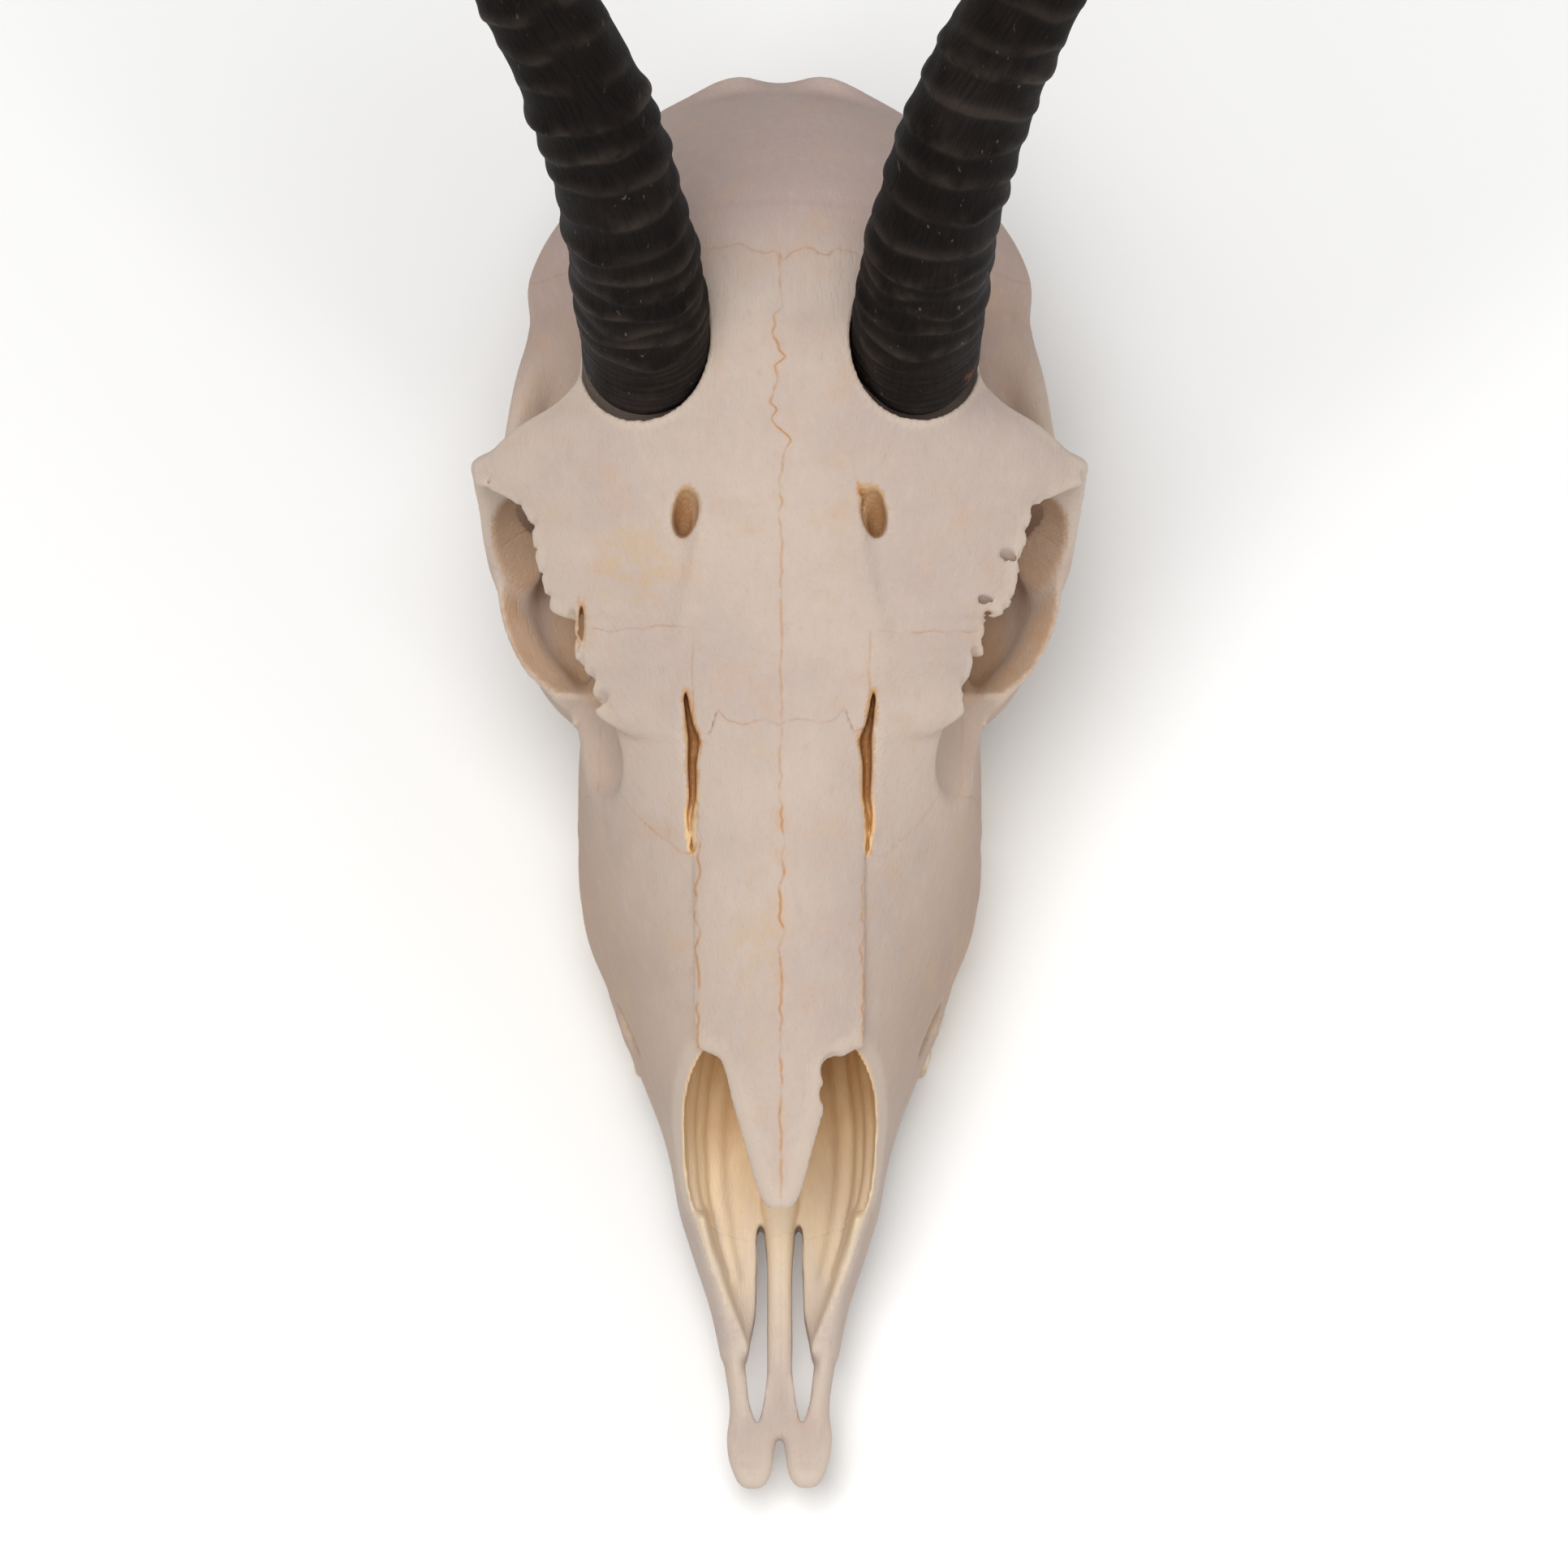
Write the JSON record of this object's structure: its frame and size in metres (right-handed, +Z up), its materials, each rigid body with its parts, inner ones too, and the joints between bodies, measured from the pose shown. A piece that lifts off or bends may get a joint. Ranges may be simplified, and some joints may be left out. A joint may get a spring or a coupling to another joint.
{
  "type": "springbok skull",
  "caption": "Springbok skull without the lower jaw, pale bone with dark ringed horns, lying on its cheek teeth as a museum model.",
  "frame": {"origin": "middle of the footprint of the whole model, on the surface that it rests on", "axes": "-Y points along the nose, +X is the animal's left, +Z is up"},
  "size_m": [0.1894, 0.3348, 0.2534],
  "materials": {
    "bone": "matte",
    "horn": "satin"
  },
  "bodies": {
    "root": {"braincase": "bone", "temporal_left": "bone", "temporal_right": "bone", "frontal_left": "bone", "frontal_right": "bone", "lacrimal_left": "bone", "lacrimal_right": "bone", "zygomatic_left": "bone", "zygomatic_right": "bone", "maxilla_left": "bone", "maxilla_right": "bone", "nasal_left": "bone", "nasal_right": "bone", "premaxilla_left": "bone", "premaxilla_right": "bone", "horn_left": "horn", "horn_right": "horn"}
  },
  "joints": []
}
